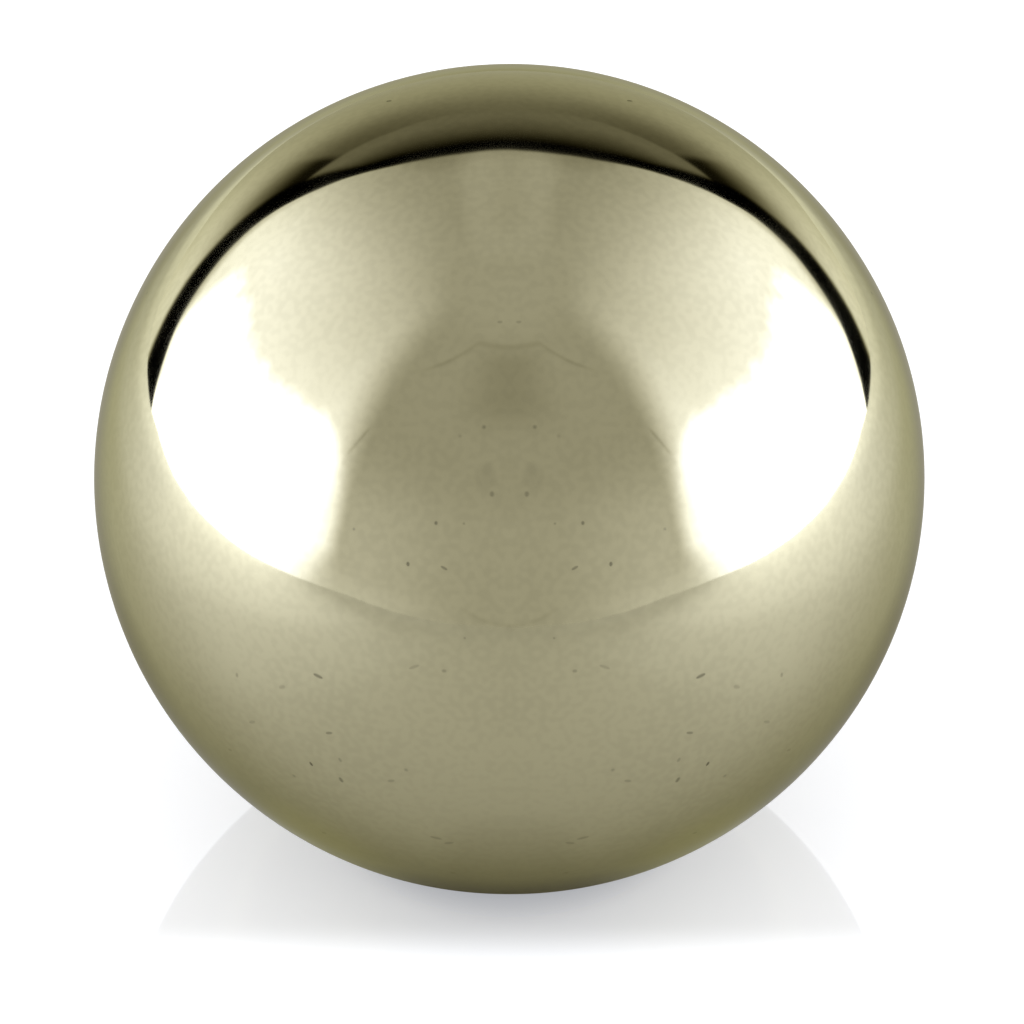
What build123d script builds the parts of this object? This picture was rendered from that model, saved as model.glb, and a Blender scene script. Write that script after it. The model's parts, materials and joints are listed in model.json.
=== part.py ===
"""Decorative ceramic ball: a slip-cast hollow sphere, glazed all over.

Millimetres, +Z up. The origin is on the ball's own axis, in the plane that it stands on.
The ball is one fired piece. Liquid clay is poured in and out through a small round hole, which also
lets the air out in the kiln, and the finished ball stands on the softened rim of that hole.
"""

import os
from math import sqrt

from build123d import *

# Driving dimensions
ball_diameter = 100.0  # outside, over the glaze
wall_thickness = 4.5  # cast wall, the same all round
vent_diameter = 8.0  # pouring and firing hole in the underside
outer_lip_radius = 1.2  # sponged outside edge of the hole, which the ball stands on
inner_lip_radius = 0.8  # softened inside edge of the hole

# Sizes that follow from them
ball_radius = ball_diameter / 2
cavity_radius = ball_radius - wall_thickness
vent_radius = vent_diameter / 2

# The outside lip is an arc that touches both the sphere and the hole's wall. The lowest ring of that
# arc carries the ball, so the ball's centre is this high above the plane that it stands on.
standing_ring_radius = vent_radius + outer_lip_radius
lip_arc_drop = sqrt((ball_radius - outer_lip_radius) ** 2 - standing_ring_radius**2)
centre_height = lip_arc_drop + outer_lip_radius


def vent_edges(part):
    """The round edges at the ends of the hole's straight wall, lowest first."""
    return part.edges().filter_by(GeomType.CIRCLE).group_by(SortBy.RADIUS)[0].sort_by(Axis.Z)


# Ball: a sphere, its cavity, and the hole from below, through the wall and on to the ball's centre
with BuildPart() as ball:
    with Locations((0, 0, centre_height)):
        Sphere(ball_radius)
        Sphere(cavity_radius, mode=Mode.SUBTRACT)
    with Locations((0, 0, centre_height - ball_radius)):
        Hole(vent_radius, depth=ball_radius)
    fillet(vent_edges(ball)[0], outer_lip_radius)
    fillet(vent_edges(ball)[-1], inner_lip_radius)

ball.part.label = "ball"

os.makedirs("parts", exist_ok=True)
export_step(ball.part, "parts/ball.step")

lowest = ball.part.bounding_box().min.Z
print("centre height", round(centre_height, 3), "lowest point", round(lowest, 4))
print("volume", round(ball.part.volume), "standing ring radius", round(standing_ring_radius, 3))
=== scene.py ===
"""Looks of the decorative ceramic ball: a mirror-bright pale gold lustre on a hollow cast sphere.

Metres, +Z up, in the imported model's frame. The ball stands on a white card in a light tent: a cloth
wall with a lamp behind it on each side, a plain ceiling, a front that is open to the camera, and a
shaded back sheet with a dark gap around it. The ball mirrors all of these.

Most tones and edges are ramps. A named ramp is (start, end) or (start, end, low, high): where it
starts and ends, and what it gives there, which is 0 and 1 where nothing is said.
"""

import json
from math import asin, cos, pi, radians, sin, sqrt, tan

import bpy
from mathutils import Matrix, Vector, noise


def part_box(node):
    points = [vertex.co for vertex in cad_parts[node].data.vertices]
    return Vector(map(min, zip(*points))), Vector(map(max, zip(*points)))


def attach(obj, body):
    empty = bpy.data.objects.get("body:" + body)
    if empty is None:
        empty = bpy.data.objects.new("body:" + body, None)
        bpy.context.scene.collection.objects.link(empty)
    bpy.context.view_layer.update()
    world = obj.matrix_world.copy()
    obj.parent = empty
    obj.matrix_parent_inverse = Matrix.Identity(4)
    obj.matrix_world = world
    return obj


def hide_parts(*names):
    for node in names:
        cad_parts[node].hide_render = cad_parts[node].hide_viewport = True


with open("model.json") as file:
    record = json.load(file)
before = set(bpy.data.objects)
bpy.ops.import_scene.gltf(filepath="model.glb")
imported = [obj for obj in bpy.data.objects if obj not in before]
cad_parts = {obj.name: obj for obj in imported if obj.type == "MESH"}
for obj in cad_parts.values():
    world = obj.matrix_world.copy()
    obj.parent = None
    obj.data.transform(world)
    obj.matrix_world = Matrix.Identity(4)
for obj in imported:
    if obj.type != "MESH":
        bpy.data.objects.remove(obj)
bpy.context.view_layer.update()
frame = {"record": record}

scene = bpy.context.scene
scene.view_settings.view_transform = "Standard"

MM = 0.001
BLACK = (0, 0, 0, 1)
WHITE = (1, 1, 1, 1)

# The ball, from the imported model: its mesh falls a few microns short of the true radius
ball_low, ball_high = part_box("ball")
mounts = {mount["name"]: mount for mount in frame["record"]["mounts"]}
BALL_RADIUS = round((ball_high.x - ball_low.x) / 2, 4)
VENT_RADIUS = mounts["vent_hole"]["dims"]["r_mm"] * MM
WALL_THICKNESS = 0.0045
OUTER_LIP_RADIUS = 0.0012
INNER_LIP_RADIUS = 0.0008

CAVITY_RADIUS = BALL_RADIUS - WALL_THICKNESS
STANDING_RING_RADIUS = VENT_RADIUS + OUTER_LIP_RADIUS
LIP_ARC_REACH = BALL_RADIUS - OUTER_LIP_RADIUS
CENTRE_HEIGHT = OUTER_LIP_RADIUS + sqrt(LIP_ARC_REACH**2 - STANDING_RING_RADIUS**2)
BALL_CENTRE = Vector((0, 0, CENTRE_HEIGHT))

# The camera, from the photograph: where the ball's disc lies in its frame, in pixels, and the angle down
FRAME_PIXELS = 1024
DISC_CENTRE_X = 509.4
DISC_CENTRE_Y = 479.2
DISC_RADIUS = 415.4
CAMERA_ELEVATION = radians(37)
CAMERA_DISTANCE = 1.0
SENSOR_WIDTH_MM = 36

FOCAL_PIXELS = DISC_RADIUS / tan(asin(BALL_RADIUS / CAMERA_DISTANCE))
VIEW_BACK = Vector((0, -cos(CAMERA_ELEVATION), sin(CAMERA_ELEVATION)))
VIEW_RIGHT = Vector((1, 0, 0))
VIEW_UP = VIEW_BACK.cross(VIEW_RIGHT)


# Shader nodes

def add_node(tree, kind, inputs=None, **settings):
    """Add a node, set its properties, and fill its inputs with plain values or other nodes' outputs."""
    made = tree.nodes.new(kind)
    for name, value in settings.items():
        setattr(made, name, value)
    for key, value in (inputs or {}).items():
        if isinstance(value, bpy.types.NodeSocket):
            tree.links.new(value, made.inputs[key])
        else:
            made.inputs[key].default_value = value
    return made


def calc(tree, operation, *values):
    """One sum on numbers or sockets."""
    return add_node(tree, "ShaderNodeMath", dict(enumerate(values)), operation=operation).outputs[0]


def product(tree, first, *others):
    """All the given numbers or sockets, multiplied."""
    for other in others:
        first = calc(tree, "MULTIPLY", first, other)
    return first


def excess(tree, value, base):
    """How far a value is above a base, and 0 below it."""
    return calc(tree, "MAXIMUM", calc(tree, "SUBTRACT", value, base), 0)


def remainder(tree, share):
    """What a share leaves of 1."""
    return calc(tree, "SUBTRACT", 1.0, share)


def distance(tree, place, point):
    """How far a place is from a fixed point."""
    ends = {0: place, 1: point}
    return add_node(tree, "ShaderNodeVectorMath", ends, operation="DISTANCE").outputs["Value"]


def ramp(tree, value, start, end, low=0.0, high=1.0, curve="SMOOTHSTEP"):
    """From low, where value is at start, to high, where it is at end, and level beyond both."""
    ends = {"Value": value, "From Min": start, "From Max": end, "To Min": low, "To Max": high}
    return add_node(tree, "ShaderNodeMapRange", ends, interpolation_type=curve).outputs["Result"]


def blend(tree, share, first, second):
    """First tone where share is 0, second where it is 1."""
    return ramp(tree, share, 0.0, 1.0, first, second, "LINEAR")


def colour_blend(tree, share, first, second):
    """First colour where share is 0, second where it is 1."""
    parts = {"Factor": share, "A": first, "B": second}
    return add_node(tree, "ShaderNodeMix", parts, data_type="RGBA").outputs["Result"]


def toned(tree, tone, colour):
    """A colour, darkened by a tone that is 1 where the colour is full."""
    return colour_blend(tree, tone, BLACK, colour)


def thin_line(tree, offset, widths):
    """1 on a line and 0 away from it, by the offset from the line and its outer and inner half widths."""
    return ramp(tree, calc(tree, "ABSOLUTE", offset), *widths)


def outline(tree, value, points):
    """A smooth curve through a few points, as the height at value."""
    span = max(reach for reach, _ in points)
    curve = add_node(tree, "ShaderNodeFloatCurve", {"Value": calc(tree, "DIVIDE", value, span)})
    curve.mapping.use_clip = False
    knots = curve.mapping.curves[0].points
    first, second, *others = [(reach / span, height / span) for reach, height in points]
    knots[0].location = first
    knots[1].location = second
    for spot in others:
        knots.new(*spot)
    curve.mapping.update()
    return calc(tree, "MULTIPLY", curve.outputs[0], span)


def cloud(tree, place, size, detail=2.0):
    """Even noise from 0 to 1 with patches of about the given size."""
    settings = {"Vector": place, "Scale": 1 / size, "Detail": detail}
    return add_node(tree, "ShaderNodeTexNoise", settings).outputs["Fac"]


def folded_axes(tree, kind):
    """A texture coordinate's X, Y and Z, and all three as a vector, with X the same on both halves."""
    place = add_node(tree, "ShaderNodeTexCoord").outputs[kind]
    axes = add_node(tree, "ShaderNodeSeparateXYZ", {0: place}).outputs
    side = calc(tree, "ABSOLUTE", axes["X"])
    vector = add_node(tree, "ShaderNodeCombineXYZ", {"X": side, "Y": axes["Y"], "Z": axes["Z"]}).outputs[0]
    return side, axes["Y"], axes["Z"], vector


def both_lights(tree, first, second):
    """The light of two shaders together."""
    return add_node(tree, "ShaderNodeAddShader", {0: first.outputs[0], 1: second.outputs[0]})


def new_material(name):
    """An empty node material and its tree."""
    material = bpy.data.materials.new(name)
    material.use_nodes = True
    material.node_tree.nodes.clear()
    return material, material.node_tree


# The ball's mesh

OUTSIDE_RINGS = 180
LIP_RINGS = 10
VENT_RINGS = 24
CAVITY_RINGS = 30
SEGMENTS = 320
ON_AXIS = 1e-9  # a ring narrower than this is one point
ON_OUTSIDE = 1e-6  # a point this near the outside sphere takes its waves
WAVES = ((0.025, 40e-6), (0.009, 14e-6), (0.0045, 5e-6))  # length and height of the outside's slow waves
GLAZE_REACH = 0.0018  # how deep under the outside the glaze runs up the vent's wall
GLAZE_UNEVEN = 0.0005  # how far its end line wanders from that
GLAZE_PATCH = 0.002  # how long each wandering of the line is


def arc(centre, radius, start, end, steps):
    """Points of a circular arc in the (radius, height) plane, both ends included."""
    angles = [start + (end - start) * step / steps for step in range(steps + 1)]
    return [(centre[0] + radius * cos(angle), centre[1] + radius * sin(angle)) for angle in angles]


def ball_profile():
    """The section of the wall: down the outside, round the lip, up the vent and round the hollow."""
    lip_turn = asin(STANDING_RING_RADIUS / LIP_ARC_REACH)
    inner_reach = CAVITY_RADIUS + INNER_LIP_RADIUS
    inner_turn = asin((VENT_RADIUS + INNER_LIP_RADIUS) / inner_reach)
    inner_height = CENTRE_HEIGHT - inner_reach * cos(inner_turn)
    middle = (0, CENTRE_HEIGHT)
    outer_lip = (STANDING_RING_RADIUS, OUTER_LIP_RADIUS)
    inner_lip = (VENT_RADIUS + INNER_LIP_RADIUS, inner_height)
    outside = arc(middle, BALL_RADIUS, pi / 2, lip_turn - pi / 2, OUTSIDE_RINGS)
    lip = arc(outer_lip, OUTER_LIP_RADIUS, lip_turn - pi / 2, -pi, LIP_RINGS)
    rise = (inner_height - OUTER_LIP_RADIUS) / VENT_RINGS
    vent = [(VENT_RADIUS, OUTER_LIP_RADIUS + rise * step) for step in range(1, VENT_RINGS)]
    mouth = arc(inner_lip, INNER_LIP_RADIUS, pi, pi / 2 + inner_turn, LIP_RINGS)
    hollow = arc(middle, CAVITY_RADIUS, inner_turn - pi / 2, pi / 2, CAVITY_RINGS)
    return outside + lip[1:] + vent + mouth + hollow[1:]


def wave_height(point):
    """How far the cast and glazed surface swells or sinks at a point of the outside."""
    return sum(height * noise.noise(point / length) for length, height in WAVES)


def is_bare(face):
    """Whether a face lies behind the uneven line where the glaze was wiped off."""
    depth = BALL_RADIUS - (face.center - BALL_CENTRE).length
    return depth > GLAZE_REACH + GLAZE_UNEVEN * noise.noise(face.center / GLAZE_PATCH)


def ball_mesh():
    """The section turned about the ball's axis, with slow waves on the outside."""
    points, faces, rings = [], [], []
    for reach, height in ball_profile():
        turns = SEGMENTS if reach > ON_AXIS else 1
        rings.append(range(len(points), len(points) + turns))
        for turn in range(turns):
            angle = 2 * pi * turn / turns
            point = Vector((reach * cos(angle), reach * sin(angle), height))
            spoke = point - BALL_CENTRE
            if spoke.length > BALL_RADIUS - ON_OUTSIDE:
                point += spoke.normalized() * wave_height(point)
            points.append(point)
    for upper, lower in zip(rings, rings[1:]):
        for turn in range(SEGMENTS):
            corners = [upper[turn % len(upper)], lower[turn % len(lower)]]
            corners += [lower[(turn + 1) % len(lower)], upper[(turn + 1) % len(upper)]]
            faces.append(list(dict.fromkeys(corners)))
    mesh = bpy.data.meshes.new("ball_shell")
    mesh.from_pydata(points, [], faces)
    mesh.update()
    for face in mesh.polygons:
        face.use_smooth = True
        face.material_index = int(is_bare(face))
    return mesh


# The lustre glaze

LUSTRE_COLOUR = (0.36, 0.335, 0.21, 1)
LUSTRE_EDGE = (0.64, 0.63, 0.495, 1)
CLOUD_SIZE = 0.024
CLOUD_TONE = (0.25, 0.75, 0.96, 1.0)
MOTTLE_SIZE = 0.0009
MOTTLE_TONE = (0.25, 0.75, -0.032, 0.032)
HAZE_SIZE = 0.012
HAZE_ROUGHNESS = (0.35, 0.8, 0.045, 0.08)
RIPPLE_SIZE = 0.0025
RIPPLE_HEIGHT = 1.5e-6
MARK_AND_REFLECTION_TONE = (0.0, 0.9, 1.0, 0.4)
MARK_ROUGHNESS = 0.3

# Marks in the glaze by their pixel in the photograph, each on both halves of the ball, with one painted
# reflection of the camera: across, down, length and width in mm, turn in degrees, anticlockwise on the
# photograph's left half, and depth
GLAZE_MARKS_AND_REFLECTION = {
    "low_smudge": (318, 676, 1.3, 0.65, -28, 0.75),
    "side_spot": (237, 675, 0.8, 0.6, 60, 0.45),
    "low_spot": (329, 733, 1.0, 0.55, 5, 0.6),
    "low_pinhole": (311, 764, 0.5, 0.75, 0, 1.0),
    "low_speck": (341, 780, 0.7, 1.0, 0, 0.7),
    "low_speck_above": (340, 760, 0.6, 0.8, 0, 0.4),
    "front_low_speck": (406, 770, 0.7, 0.7, 0, 0.5),
    "front_low_smear": (436, 838, 1.5, 0.7, -25, 0.4),
    "front_low_hook": (449, 843, 1.3, 0.7, 12, 0.35),
    "floor_line_speck": (444, 671, 0.7, 0.6, 0, 0.4),
    "floor_line_smear": (414, 667, 1.4, 0.55, 20, 0.3),
    "middle_spot": (484, 427, 0.7, 0.7, 0, 0.65),
    "middle_low_spot": (492, 494, 0.7, 0.8, 0, 0.5),
    "middle_pinhole": (436, 523, 0.55, 0.6, 0, 0.75),
    "near_line_pinhole": (408, 564, 0.55, 0.65, 0, 0.85),
    "near_line_nick": (444, 568, 0.9, 0.45, -30, 0.65),
    "side_pinhole": (354, 529, 0.45, 0.45, 0, 0.75),
    "top_pinhole": (389, 101, 0.9, 0.6, 0, 0.9),
    "rim_speck": (147, 293, 0.9, 0.6, 0, 0.6),
    "low_side_speck": (230, 750, 0.9, 0.6, 0, 0.35),
    "low_side_smear": (252, 722, 1.2, 0.6, 10, 0.3),
    "low_faint_spot": (282, 687, 1.1, 0.7, 15, 0.3),
    "low_left_speck": (294, 776, 0.7, 0.7, 0, 0.5),
    "low_edge_speck": (324, 833, 0.9, 0.6, 0, 0.4),
    "front_low_spot": (391, 781, 1.0, 0.6, 10, 0.35),
    "foot_speck": (453, 873, 0.8, 0.6, 0, 0.4),
    "middle_faint_spot": (460, 436, 0.7, 0.7, 0, 0.3),
    # painted reflection of the camera: a faint soft dark patch in the middle of the ball
    "painted_camera_reflection": (486, 475, 3.0, 3.6, 0, 0.12),
    "upper_spot": (500, 322, 0.7, 0.5, 0, 0.35),
}

# Scattered specks: cells this far apart each have a chance, and those above a limit have a speck
SPECK_SPACING = 0.006
SPECK_LIMIT = 0.72
SPECK_RADIUS = (0.7, 1.0, 0.0, 0.075)  # by the cell's chance, as a share of the spacing
SPECK_DEPTH = 0.45

CLAY_COLOUR = (0.72, 0.68, 0.60, 1)
CLAY_ROUGHNESS = 0.85
GRAIN_SIZE = 0.0007
GRAIN_TONE = (0.2, 0.8, 0.82, 1.0)
GRAIN_HEIGHT = 6e-5


def on_ball(pixel_x, pixel_y):
    """The point of the ball's outside that a pixel of the photograph shows."""
    ray = VIEW_RIGHT * (pixel_x - DISC_CENTRE_X) - VIEW_UP * (pixel_y - DISC_CENTRE_Y)
    ray = (ray - VIEW_BACK * FOCAL_PIXELS).normalized()
    start = VIEW_BACK * CAMERA_DISTANCE
    along = start.dot(ray)
    reach = -along - sqrt(along**2 - start.length_squared + BALL_RADIUS**2)
    return BALL_CENTRE + start + ray * reach


def mark_mask(tree, place, pixel_x, pixel_y, length, width, turn, depth):
    """A soft oval of the given size on the surface, deepest along the line between its two foci."""
    spot = on_ball(pixel_x, pixel_y)
    spot.x = abs(spot.x)
    outward = (spot - BALL_CENTRE).normalized()
    across = outward.cross(VIEW_UP).normalized()
    along = Matrix.Rotation(radians(-turn), 3, outward) @ across
    if width > length:
        length, width, along = width, length, outward.cross(along)
    focus = along * sqrt(length**2 - width**2) * MM / 2
    reach = distance(tree, place, spot + focus)
    other = distance(tree, place, spot - focus) if focus.length else reach
    reach = calc(tree, "ADD", reach, other)
    edge = length * MM
    fall = depth / (edge - 2 * focus.length)
    return calc(tree, "MULTIPLY_ADD", reach, -fall, fall * edge)


def scattered_specks(tree, place):
    """Faint small specks all round, one in some of the cells that the surface is cut into."""
    cells = add_node(tree, "ShaderNodeTexVoronoi", {"Vector": place, "Scale": 1 / SPECK_SPACING})
    chance = add_node(tree, "ShaderNodeSeparateColor", {0: cells.outputs["Color"]}).outputs["Red"]
    radius = ramp(tree, chance, *SPECK_RADIUS, "LINEAR")
    speck = ramp(tree, cells.outputs["Distance"], 0.0, radius, SPECK_DEPTH, 0.0)
    return calc(tree, "MULTIPLY", speck, calc(tree, "GREATER_THAN", chance, SPECK_LIMIT))


def lustre_glaze():
    """Metal lustre over glaze: nearly a mirror, with faint clouds, a ripple, pinholes, dust specks and a
    painted camera reflection.
    """
    material, tree = new_material("lustre_glaze")
    *_, place = folded_axes(tree, "Object")
    marks_and_reflection = scattered_specks(tree, place)
    for mark in GLAZE_MARKS_AND_REFLECTION.values():
        marks_and_reflection = calc(tree, "MAXIMUM", marks_and_reflection, mark_mask(tree, place, *mark))

    # Colour: slow clouds and fine mottling of the metal film, darker in each mark and in the painted
    # reflection of the camera
    slow = ramp(tree, cloud(tree, place, CLOUD_SIZE, detail=1.0), *CLOUD_TONE)
    fine = ramp(tree, cloud(tree, place, MOTTLE_SIZE, detail=0.0), *MOTTLE_TONE)
    film = calc(tree, "ADD", slow, fine)
    tone = calc(tree, "MULTIPLY", film, ramp(tree, marks_and_reflection, *MARK_AND_REFLECTION_TONE, "LINEAR"))

    # Gloss: hazy patches where the film is thin, and dull marks
    haze = ramp(tree, cloud(tree, place, HAZE_SIZE, detail=1.0), *HAZE_ROUGHNESS)
    roughness = calc(tree, "MULTIPLY_ADD", marks_and_reflection, MARK_ROUGHNESS, haze)

    swell = cloud(tree, place, RIPPLE_SIZE, detail=0.0)
    ripple = add_node(tree, "ShaderNodeBump", {"Height": swell, "Distance": RIPPLE_HEIGHT})
    surface = {"Base Color": toned(tree, tone, LUSTRE_COLOUR), "Metallic": 1.0, "Roughness": roughness}
    surface |= {"Normal": ripple.outputs[0], "Specular Tint": LUSTRE_EDGE}
    shader = add_node(tree, "ShaderNodeBsdfPrincipled", surface)
    add_node(tree, "ShaderNodeOutputMaterial", {"Surface": shader.outputs[0]})
    return material


def bare_clay():
    """Fired clay in the vent and the hollow: matt, pale and finely grained."""
    material, tree = new_material("bare_clay")
    place = add_node(tree, "ShaderNodeTexCoord").outputs["Object"]
    grain = cloud(tree, place, GRAIN_SIZE, detail=4.0)
    relief = add_node(tree, "ShaderNodeBump", {"Height": grain, "Distance": GRAIN_HEIGHT})
    colour = toned(tree, ramp(tree, grain, *GRAIN_TONE), CLAY_COLOUR)
    surface = {"Base Color": colour, "Roughness": CLAY_ROUGHNESS, "Normal": relief.outputs[0]}
    shader = add_node(tree, "ShaderNodeBsdfPrincipled", surface)
    add_node(tree, "ShaderNodeOutputMaterial", {"Surface": shader.outputs[0]})
    return material


def build_ball():
    """The one piece of the object, in place of its solid."""
    ball = bpy.data.objects.new("ceramic_ball", ball_mesh())
    scene.collection.objects.link(ball)
    ball.data.materials.append(lustre_glaze())
    ball.data.materials.append(bare_clay())
    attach(ball, "root")
    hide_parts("ball")


# The light tent, far away all round. A tone of 1 is white. Directions are in degrees: azimuth is 0 at the
# camera's side and 180 behind the ball, the same on both halves, and elevation is up from the tent's own
# ground, which leans: it rises towards the camera and dips behind the ball.

TENT_LEAN = radians(3)
CLOTH_PATCH = 0.12
CLOTH_FOLDS = (0.25, 0.75, -2.0, 2.0)
CLOTH_TONE = (0.25, 0.75, 0.988, 1.012)
GREEN_POWER = 1.035  # powers of the tone: lit cloth, above 1, is cooler, and cloth in shade warmer
BLUE_POWER = 1.23

# Ceiling, by the depth of the direction, with a pale streak at its back, by the depth and the side
CEILING_TONE = 0.87
CEILING_BACK = (0.0, 0.38, CEILING_TONE, 0.94)
CEILING_START = (68, 80)
STREAK_SIDE = (0.19, 0.12, 0.0, 0.11)
STREAK_MIDDLE = (0.0, 0.1, 0.5, 1.0)
STREAK_BACK = (0.1, 0.4)

# Open front, by elevation, lighter towards the walls, with a soft shade over the middle
FRONT_TONE = (18, 34, 0.89, 0.8)
FRONT_LIFT = (42, 4, 0.0, 0.34)
FRONT_LOW_LIFT = (4, -6, 0.0, 0.2)
FRONT_LIFT_SIDE = (6, 46)
FRONT_SHADE_SIDE = (30, 3)
FRONT_SHADE_FOOT = (42, 56)
FRONT_SHADE_TOP = (71, 65)
FRONT_SHADE_DEPTH = 0.16

# Seam above the shade, level in the middle and bent down at its ends, and curved fold low in front
SEAM_HEIGHT = 70
SEAM_BEND_START = 23
SEAM_BEND = 0.57
SEAM_WIDTHS = (1.1, 0.2)
SEAM_ENDS = (50, 36)
SEAM_DEPTH = 0.15
FOLD_HEIGHT = -6.3
FOLD_CURVE = 0.029
FOLD_WIDTHS = (0.8, 0.1)
FOLD_ENDS = (14, 9)
FOLD_DEPTH = 0.1

# Lit walls: the near edge leans back above and below its middle, and is softer there
WALL_TONE = (28, 76, 2.78, CEILING_TONE)
EDGE_AZIMUTH = 49.5
EDGE_SOFTNESS = 3.5
EDGE_LEAN_START = 12
EDGE_LEAN = 0.26
EDGE_LEAN_SOFTENING = 0.2
EDGE_FOOT_START = 6
EDGE_FOOT_TURN = 0.45
EDGE_FOOT_SOFTENING = 0.7
FAR_EDGE_START = 162
FAR_EDGE_END = 136
FAR_EDGE_LEAN = 0.9

# Seam in the wall beside its near edge
WALL_SEAM_AZIMUTH = 61.3
WALL_SEAM_LEAN = 0.27
WALL_SEAM_WIDTHS = (0.6, 0.15)
WALL_SEAM_FOOT = (28, 30)
WALL_SEAM_TOP = (38.5, 36, 0.0, 0.35)

# Lamp behind the cloth: the elevation of its patch's top edge by azimuth, and the patch's edges
LAMP_TONE = 5.5
LAMP_TOP = (
    (0, 0), (45, 16), (56, 27), (66, 30), (80, 29), (95, 25), (112, 22), (128, 16), (140, 10),
)
LAMP_TOP_EDGE = (4, -4)
LAMP_NEAR_EDGE = (46, 66)
LAMP_FAR_EDGE = (131, 124)

# Back sheet, on an upright plane one unit behind the ball: across, up, and below the gap's top edge
BACK_START = (118, 120)
LEAST_DEPTH = 0.02
SHEET_TONE = (-0.06, 0.46, 0.9, 0.34)
SHEET_TOP_SHADE = (0.46, 0.62, 0.0, 0.08)
SHEET_GLOW_SIDE = (0.15, 0.85)
SHEET_GLOW_FOOT = (0.2, -0.1, 0.0, 1.2)
CREASE_FOOT = (0.08, 0.36)
CREASE_TOP = (0.44, 0.41)
CREASE_DEPTH = (0.05, 0.45, 0.04, 0.42)
CREASE_END_DEPTH = (0.45, 0.505, 0.0, 0.54)

# Black gap round the back sheet, and the soft shades of the tent's cloth along it
GAP_OUTLINE = (
    (0, 0.96), (0.3, 0.935), (0.42, 0.88), (0.637, 0.67), (0.87, 0.345), (1.11, 0.125), (1.5, -0.16),
)
GAP_EDGE = (-0.012, 0.018)
GAP_DEPTH = (0.5, 0.68, 0.11, 0.29)
GAP_END_DEPTH = (0.85, 1.1, 0.0, 0.05)
GAP_SOFTNESS = (0.3, 0.65, 0.31, 0.12)
MIDDLE_SHADE_SIDE = (0.4, 0.1)
MIDDLE_SHADE = (-0.2, 0.0, 0.0, 0.12)
NEXT_SHADE_START = (0.12, 0.25)
NEXT_SHADE_END = (0.5, 0.35)
NEXT_SHADE = (-0.35, -0.02, 0.0, 0.2)
SIDE_SHADE_START = (0.65, 0.95)
SIDE_SHADE_END = (1.75, 1.45)
SIDE_SHADE = (-0.13, -0.02, 0.0, 0.4)

# The world counts one more ray than a surface does: this lies between one mirror and two
WORLD_FIRST_MIRROR = 2.5
TWICE_MIRRORED_TONE = 0.55


def leaned(tree, depth, height):
    """Depth and height from the ball's centre, as they are along and across the leaning ground."""
    along = calc(tree, "MULTIPLY", depth, cos(TENT_LEAN))
    along = calc(tree, "MULTIPLY_ADD", height, -sin(TENT_LEAN), along)
    across = calc(tree, "MULTIPLY", depth, sin(TENT_LEAN))
    across = calc(tree, "MULTIPLY_ADD", height, cos(TENT_LEAN), across)
    return along, across


def front_tones(tree, azimuth, elevation, side, depth):
    """The open front, with its shade, seam and fold, and the ceiling, with its streak."""
    ceiling = ramp(tree, depth, *CEILING_BACK)
    front = ramp(tree, elevation, *FRONT_TONE)
    lift = calc(tree, "ADD", ramp(tree, elevation, *FRONT_LIFT), ramp(tree, elevation, *FRONT_LOW_LIFT))
    front = calc(tree, "MULTIPLY_ADD", ramp(tree, azimuth, *FRONT_LIFT_SIDE), lift, front)
    shade = product(tree, ramp(tree, azimuth, *FRONT_SHADE_SIDE), ramp(tree, elevation, *FRONT_SHADE_FOOT))
    shade = product(tree, shade, ramp(tree, elevation, *FRONT_SHADE_TOP))
    front = calc(tree, "MULTIPLY_ADD", shade, -FRONT_SHADE_DEPTH, front)
    front = blend(tree, ramp(tree, elevation, *CEILING_START), front, ceiling)

    bend = excess(tree, azimuth, SEAM_BEND_START)
    above_seam = calc(tree, "ADD", elevation, calc(tree, "MULTIPLY_ADD", bend, SEAM_BEND, -SEAM_HEIGHT))
    seam = product(tree, thin_line(tree, above_seam, SEAM_WIDTHS), ramp(tree, azimuth, *SEAM_ENDS))
    front = calc(tree, "MULTIPLY_ADD", seam, -SEAM_DEPTH, front)

    squared = calc(tree, "MULTIPLY", azimuth, azimuth)
    fold_height = calc(tree, "MULTIPLY_ADD", squared, FOLD_CURVE, FOLD_HEIGHT)
    above_fold = calc(tree, "SUBTRACT", elevation, fold_height)
    fold = product(tree, thin_line(tree, above_fold, FOLD_WIDTHS), ramp(tree, azimuth, *FOLD_ENDS))
    front = calc(tree, "MULTIPLY_ADD", fold, -FOLD_DEPTH, front)

    streak = product(tree, ramp(tree, side, *STREAK_SIDE), ramp(tree, side, *STREAK_MIDDLE))
    return calc(tree, "MULTIPLY_ADD", streak, ramp(tree, depth, *STREAK_BACK), front)


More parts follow.
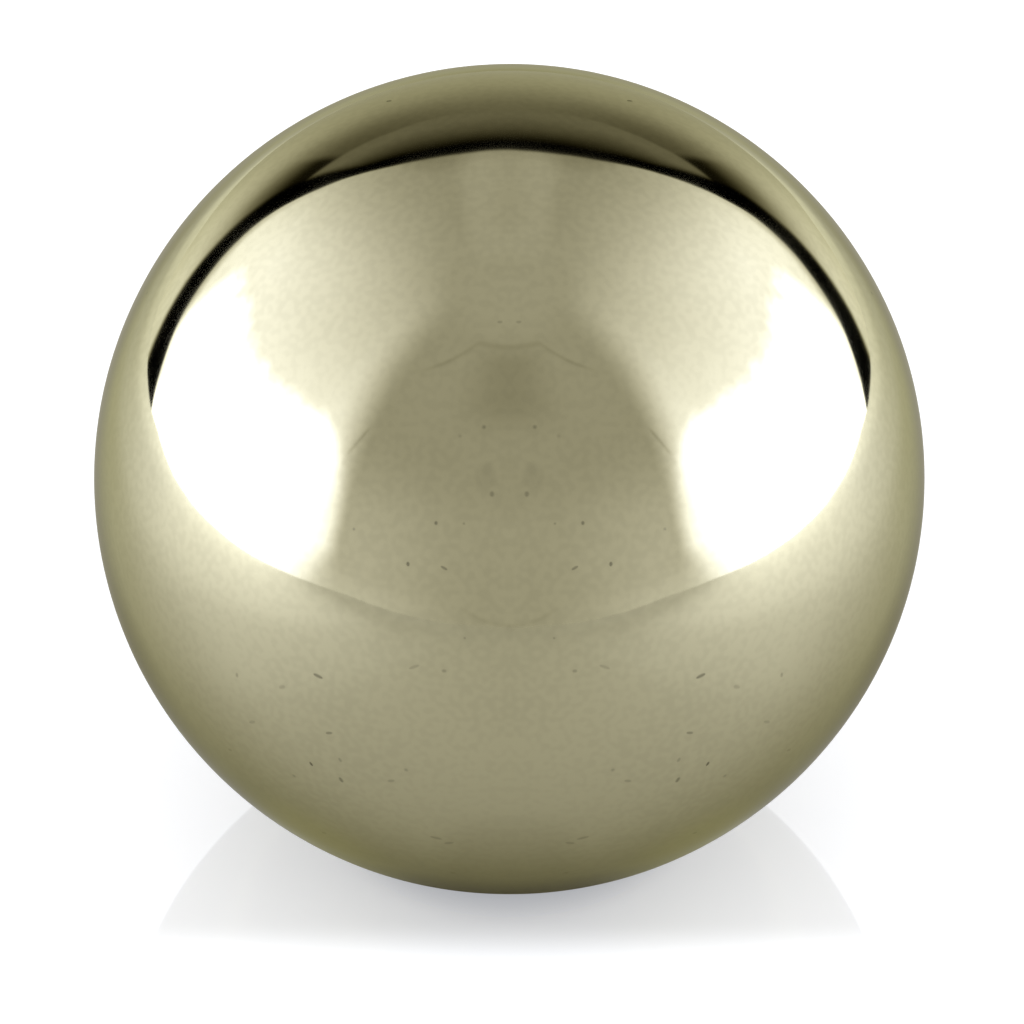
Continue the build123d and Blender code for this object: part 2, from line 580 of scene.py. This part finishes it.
def wall_tones(tree, azimuth, elevation, front, folds):
    """The lit side walls, with a seam at the near edge and the lamp's burnt-out patch low on each."""
    wall = ramp(tree, elevation, *WALL_TONE, "LINEAR")
    above = excess(tree, elevation, EDGE_LEAN_START)
    below = excess(tree, EDGE_FOOT_START, elevation)
    azimuth = calc(tree, "MULTIPLY_ADD", below, -EDGE_FOOT_TURN, azimuth)
    near_edge = calc(tree, "MULTIPLY_ADD", above, EDGE_LEAN, EDGE_AZIMUTH)
    softness = calc(tree, "MULTIPLY_ADD", above, EDGE_LEAN_SOFTENING, EDGE_SOFTNESS)
    softness = calc(tree, "MULTIPLY_ADD", below, EDGE_FOOT_SOFTENING, softness)
    start = calc(tree, "SUBTRACT", near_edge, softness)
    end = calc(tree, "ADD", near_edge, softness)
    far_end = calc(tree, "MULTIPLY_ADD", above, -FAR_EDGE_LEAN, FAR_EDGE_END)
    lit = product(tree, ramp(tree, azimuth, start, end), ramp(tree, azimuth, FAR_EDGE_START, far_end))
    tone = blend(tree, lit, front, wall)

    lamp_top = calc(tree, "ADD", outline(tree, azimuth, LAMP_TOP), folds)
    lamp = ramp(tree, calc(tree, "SUBTRACT", elevation, lamp_top), *LAMP_TOP_EDGE)
    lamp = product(tree, lamp, ramp(tree, azimuth, *LAMP_NEAR_EDGE), ramp(tree, azimuth, *LAMP_FAR_EDGE))
    tone = blend(tree, lamp, tone, LAMP_TONE)

    lean = calc(tree, "MULTIPLY_ADD", elevation, WALL_SEAM_LEAN, -WALL_SEAM_AZIMUTH)
    seam = thin_line(tree, calc(tree, "ADD", azimuth, lean), WALL_SEAM_WIDTHS)
    seam = product(tree, seam, ramp(tree, elevation, *WALL_SEAM_FOOT))
    seam = product(tree, seam, ramp(tree, elevation, *WALL_SEAM_TOP))
    return product(tree, tone, remainder(tree, seam))


def back_tones(tree, across, up, tent):
    """The back sheet, dark under its top edge and creased, and the black gap between it and the tent."""
    below = calc(tree, "SUBTRACT", outline(tree, across, GAP_OUTLINE), up)
    sheet = calc(tree, "SUBTRACT", ramp(tree, up, *SHEET_TONE), ramp(tree, up, *SHEET_TOP_SHADE))
    glow = product(tree, ramp(tree, across, *SHEET_GLOW_SIDE), ramp(tree, up, *SHEET_GLOW_FOOT))
    crease = product(tree, ramp(tree, up, *CREASE_FOOT), ramp(tree, up, *CREASE_TOP))
    crease_depth = ramp(tree, across, *CREASE_DEPTH)
    crease_depth = calc(tree, "ADD", crease_depth, ramp(tree, across, *CREASE_END_DEPTH))
    crease = product(tree, crease, crease_depth)
    sheet = product(tree, calc(tree, "ADD", sheet, glow), remainder(tree, crease))

    gap_depth = calc(tree, "ADD", ramp(tree, across, *GAP_DEPTH), ramp(tree, across, *GAP_END_DEPTH))
    gap_end = calc(tree, "ADD", gap_depth, ramp(tree, across, *GAP_SOFTNESS))
    sheet = product(tree, sheet, ramp(tree, below, gap_depth, gap_end))

    shade = product(tree, ramp(tree, below, *MIDDLE_SHADE), ramp(tree, across, *MIDDLE_SHADE_SIDE))
    next_shade = product(tree, ramp(tree, across, *NEXT_SHADE_START), ramp(tree, across, *NEXT_SHADE_END))
    shade = calc(tree, "ADD", shade, product(tree, next_shade, ramp(tree, below, *NEXT_SHADE)))
    side_shade = product(tree, ramp(tree, across, *SIDE_SHADE_START), ramp(tree, across, *SIDE_SHADE_END))
    shade = calc(tree, "ADD", shade, product(tree, side_shade, ramp(tree, below, *SIDE_SHADE)))
    tent = product(tree, tent, remainder(tree, shade))
    return blend(tree, ramp(tree, below, *GAP_EDGE), tent, sheet)


def tent_colour(tree):
    """What a mirror sees of the tent: lamp-lit cloth is a cooler white than cloth in shade."""
    side, depth, height, direction = folded_axes(tree, "Generated")
    depth, height = leaned(tree, depth, height)
    azimuth = calc(tree, "DEGREES", calc(tree, "ARCTAN2", side, calc(tree, "MULTIPLY", depth, -1)))
    elevation = calc(tree, "DEGREES", calc(tree, "ARCSINE", height))
    cloth = cloud(tree, direction, CLOTH_PATCH)

    tone = front_tones(tree, azimuth, elevation, side, depth)
    tone = wall_tones(tree, azimuth, elevation, tone, ramp(tree, cloth, *CLOTH_FOLDS))
    backward = calc(tree, "MAXIMUM", depth, LEAST_DEPTH)
    across = calc(tree, "DIVIDE", side, backward)
    up = calc(tree, "DIVIDE", height, backward)
    tone = blend(tree, ramp(tree, azimuth, *BACK_START), tone, back_tones(tree, across, up, tone))
    tone = product(tree, tone, ramp(tree, cloth, *CLOTH_TONE))
    green = calc(tree, "POWER", tone, GREEN_POWER)
    blue = calc(tree, "POWER", tone, BLUE_POWER)
    return add_node(tree, "ShaderNodeCombineColor", {"Red": tone, "Green": green, "Blue": blue}).outputs[0]


def light_tent():
    """Plain white all round, but metal and glass see the tent that it stands for.

    In the ball's image in the floor's polish the tent is plain white too, but dimmed.
    """
    world = bpy.data.worlds.new("light_tent")
    scene.world = world
    world.use_nodes = True
    tree = world.node_tree
    tree.nodes.clear()
    rays = add_node(tree, "ShaderNodeLightPath").outputs
    mirrored = calc(tree, "MAXIMUM", rays["Is Glossy Ray"], rays["Is Transmission Ray"])
    mirrored = calc(tree, "SUBTRACT", mirrored, rays["Is Singular Ray"])
    mirrored = product(tree, mirrored, calc(tree, "LESS_THAN", rays["Ray Depth"], WORLD_FIRST_MIRROR))
    tent = add_node(tree, "ShaderNodeBackground", {"Color": tent_colour(tree)})
    later = calc(tree, "GREATER_THAN", rays["Ray Depth"], WORLD_FIRST_MIRROR)
    strength = blend(tree, product(tree, rays["Is Glossy Ray"], later), 1.0, TWICE_MIRRORED_TONE)
    plain = add_node(tree, "ShaderNodeBackground", {"Color": WHITE, "Strength": strength})
    either = add_node(tree, "ShaderNodeMixShader", {0: mirrored, 1: plain.outputs[0], 2: tent.outputs[0]})
    add_node(tree, "ShaderNodeOutputWorld", {"Surface": either.outputs[0]})


# The floor: a level card that just reaches the tent's walls, narrower at the back sheet. Side and depth
# are measured from under the ball, and for what the ball mirrors they are taken along the leaning ground.

FLOOR_OUTLINE = (  # right half, from the front
    (0.895, -0.997), (0.9, -0.65), (0.5, 0.0), (0.441, 0.169), (0.277, 0.266), (0.253, 0.417),
)

# The card as the ball mirrors it, with painted shade and light: dimmer at the front edge and the back, and
# warmer behind the ball with painted warm light
CARD_COLOUR = (0.95, 0.95, 0.95, 1)
CARD_BEHIND_WARM_LIGHT = (0.94, 0.93, 0.73, 1)
CARD_FRONT = (-0.5, -0.2, 0.9, 1.0)
CARD_BACK = (-0.03, 0.1, 0.0, -0.28)
CARD_BACK_LIFT = (0.14, 0.3, 0.0, 0.07)
WARM_SIDE = (0.2, 0.12)
WARM_BACK = (0.02, 0.14)

# The ball's gold shadow, painted on the card: under it, beside it, behind it and close before it
SHADOW_COLOUR = (0.36, 0.33, 0.21, 1)
UNDER_REACH = (0.04, 0.016)
BESIDE_SIDE = (0.17, 0.1)
BESIDE_FRONT = (-0.055, -0.01, 0.0, 0.26)
BESIDE_BACK = (0.06, 0.02)
BEHIND_SPREAD = 0.35
BEHIND_SIDE = (0.1, 0.045)
BEHIND_FRONT = (-0.03, 0.03)
BEHIND_BACK = (0.5, 0.1)
BEFORE_SIDE = (0.016, 0.006)
BEFORE_FRONT = (-0.06, -0.046, 0.0, 0.14)
BEFORE_BACK = (0.0, -0.02)

# The lamps' light, painted on the card as a glow: by the side, less in front and at the back, and a glow
# at the back corners
SPILL_COLOUR = (0.763, 0.80, 1.0, 1)
SPILL_STRENGTH = 2.3
SPILL_RISE = ((0, 0), (0.04, 0.03), (0.1, 0.2), (0.15, 0.33), (0.2, 0.53), (0.35, 0.86), (0.5, 1.2))
SPILL_FRONT_SLANT = 0.3
SPILL_FRONT = (-0.3, 0.0, 0.15, 1.0)
SPILL_BACK = (0.4, -0.02, 0.4, 1.0)
CORNER_GLOW = 0.6
CORNER_REACH = (0.4, 0.65)
CORNER_BACK = (-0.1, 0.1)
CORNER_SIDE = (0.19, 0.3)
FLOOR_FIRST_MIRROR = 1.5  # between one mirror and two, in the rays that a surface counts

# The light that the ball throws on to the card, painted as a glow close beside it
THROWN_COLOUR = (1.0, 1.0, 0.27, 1)
THROWN_STRENGTH = 0.11
THROWN_PLACE = (0.027, -0.021, 0)
THROWN_REACH = (0.018, 0.003)

# The card as the camera sees it, with a painted shadow close under the ball and a painted glow that lifts
# it to white
SEEN_COLOUR = (0.72, 0.72, 0.72, 1)
CONTACT_SHADE = (0.0162, 0.0252)
POLISH_COLOUR = (0.16, 0.16, 0.16, 1)
LIFT_COLOUR = (0.92, 0.94, 1.0, 1)
LIFT_STRENGTH = (-0.0233, -0.0335, 0.425, 0.82)  # beside the ball and in front of it


def card_with_painted_shade(tree, side, depth, away):
    """The white card, with painted shade and warm light, and the ball's gold in its painted shadow."""
    # painted shade: dimmer at the front edge and just behind the ball, a little lighter further back
    tone = ramp(tree, depth, *CARD_FRONT)
    tone = calc(tree, "ADD", tone, ramp(tree, depth, *CARD_BACK))
    tone = calc(tree, "ADD", tone, ramp(tree, depth, *CARD_BACK_LIFT))
    # painted warm light behind the ball
    painted_warmth = product(tree, ramp(tree, side, *WARM_SIDE), ramp(tree, depth, *WARM_BACK))
    white = toned(tree, tone, colour_blend(tree, painted_warmth, CARD_COLOUR, CARD_BEHIND_WARM_LIGHT))

    # painted shadow of the ball, mixed towards its gold
    beside = product(tree, ramp(tree, side, *BESIDE_SIDE), ramp(tree, depth, *BESIDE_FRONT))
    beside = product(tree, beside, ramp(tree, depth, *BESIDE_BACK))
    spread = calc(tree, "MULTIPLY_ADD", calc(tree, "MAXIMUM", depth, 0.0), -BEHIND_SPREAD, side)
    behind = product(tree, ramp(tree, spread, *BEHIND_SIDE), ramp(tree, depth, *BEHIND_FRONT))
    behind = product(tree, behind, ramp(tree, depth, *BEHIND_BACK))
    before = product(tree, ramp(tree, side, *BEFORE_SIDE), ramp(tree, depth, *BEFORE_FRONT))
    before = product(tree, before, ramp(tree, depth, *BEFORE_BACK))
    shadow = calc(tree, "MAXIMUM", beside, behind)
    shadow = calc(tree, "MAXIMUM", shadow, ramp(tree, away, *UNDER_REACH))
    return colour_blend(tree, calc(tree, "ADD", shadow, before), white, SHADOW_COLOUR)


def lamp_spill(tree, side, depth):
    """The strength of the lamps' light, painted on to the card as a glow."""
    rise = calc(tree, "MAXIMUM", outline(tree, side, SPILL_RISE), 0.0)
    from_front = calc(tree, "MULTIPLY_ADD", side, SPILL_FRONT_SLANT, depth)
    falls = product(tree, ramp(tree, from_front, *SPILL_FRONT), ramp(tree, depth, *SPILL_BACK))
    spill = product(tree, rise, falls, SPILL_STRENGTH)
    corner = ramp(tree, calc(tree, "ADD", side, depth), *CORNER_REACH)
    corner = product(tree, corner, ramp(tree, depth, *CORNER_BACK), ramp(tree, side, *CORNER_SIDE))
    return calc(tree, "MULTIPLY_ADD", corner, CORNER_GLOW, spill)


def mirrored_card(tree, side, depth, place, away, rays):
    """What the ball mirrors of the floor: the card with painted shade and shadow, and painted glows for
    the lamps' and the ball's light.
    """
    along, drop = leaned(tree, depth, -CENTRE_HEIGHT)
    onto_ground = calc(tree, "DIVIDE", -CENTRE_HEIGHT, drop)
    ground_side = product(tree, side, onto_ground)
    ground_depth = product(tree, along, onto_ground)
    colour = card_with_painted_shade(tree, ground_side, ground_depth, away)
    card = add_node(tree, "ShaderNodeBsdfDiffuse", {"Color": colour})

    # painted light: the lamps' spill glows from the card itself
    strength = lamp_spill(tree, ground_side, ground_depth)
    strength = product(tree, strength, calc(tree, "LESS_THAN", rays["Ray Depth"], FLOOR_FIRST_MIRROR))
    spill = add_node(tree, "ShaderNodeEmission", {"Color": SPILL_COLOUR, "Strength": strength})
    # painted light thrown by the ball, glowing from the card
    near = ramp(tree, distance(tree, place, THROWN_PLACE), *THROWN_REACH, 0.0, THROWN_STRENGTH)
    thrown = add_node(tree, "ShaderNodeEmission", {"Color": THROWN_COLOUR, "Strength": near})
    return both_lights(tree, both_lights(tree, card, spill), thrown)


def seen_card(tree, depth, away):
    """What the camera sees of the floor: plain white, lifted by a painted glow, but for the ball's soft
    shadow, darkened by painted shade close under it, and its image.
    """
    # painted contact shadow close under the ball
    contact = ramp(tree, away, *CONTACT_SHADE)
    white = add_node(tree, "ShaderNodeBsdfDiffuse", {"Color": toned(tree, contact, SEEN_COLOUR)})
    polish = add_node(tree, "ShaderNodeBsdfAnisotropic", {"Color": POLISH_COLOUR, "Roughness": 0.0})
    # painted glow, weaker beside the ball than in front of it
    strength = ramp(tree, depth, *LIFT_STRENGTH)
    lift = add_node(tree, "ShaderNodeEmission", {"Color": LIFT_COLOUR, "Strength": strength})
    return both_lights(tree, both_lights(tree, white, polish), lift)


def pale_floor():
    """White polished card, with one look for the camera and one for all other rays."""
    material, tree = new_material("pale_floor")
    side, depth, _, place = folded_axes(tree, "Object")
    away = add_node(tree, "ShaderNodeVectorMath", {0: place}, operation="LENGTH").outputs["Value"]
    rays = add_node(tree, "ShaderNodeLightPath").outputs
    mirrored = mirrored_card(tree, side, depth, place, away, rays)
    seen = seen_card(tree, depth, away)
    either = {0: rays["Is Camera Ray"], 1: mirrored.outputs[0], 2: seen.outputs[0]}
    surface = add_node(tree, "ShaderNodeMixShader", either)
    add_node(tree, "ShaderNodeOutputMaterial", {"Surface": surface.outputs[0]})
    return material


def build_floor():
    """The card, as one flat face."""
    left = [(-x, y) for x, y in reversed(FLOOR_OUTLINE)]
    corners = [(x, y, 0) for x, y in (*FLOOR_OUTLINE, *left)]
    mesh = bpy.data.meshes.new("floor")
    mesh.from_pydata(corners, [], [range(len(corners))])
    floor = bpy.data.objects.new("floor", mesh)
    scene.collection.objects.link(floor)
    floor.data.materials.append(pale_floor())


def build_camera():
    """Looks down at the ball from the photograph's angle, with the ball's disc where it lies there."""
    data = bpy.data.cameras.new("camera")
    data.sensor_width = SENSOR_WIDTH_MM
    data.lens = FOCAL_PIXELS * SENSOR_WIDTH_MM / FRAME_PIXELS
    camera = bpy.data.objects.new("camera", data)
    scene.collection.objects.link(camera)
    camera.location = BALL_CENTRE + VIEW_BACK * CAMERA_DISTANCE
    pixel = CAMERA_DISTANCE / FOCAL_PIXELS
    aim = BALL_CENTRE + VIEW_RIGHT * (FRAME_PIXELS / 2 - DISC_CENTRE_X) * pixel
    aim -= VIEW_UP * (FRAME_PIXELS / 2 - DISC_CENTRE_Y) * pixel
    camera.rotation_mode = "QUATERNION"
    camera.rotation_quaternion = (aim - camera.location).to_track_quat("-Z", "Y")
    scene.camera = camera


build_ball()
light_tent()
build_floor()
build_camera()
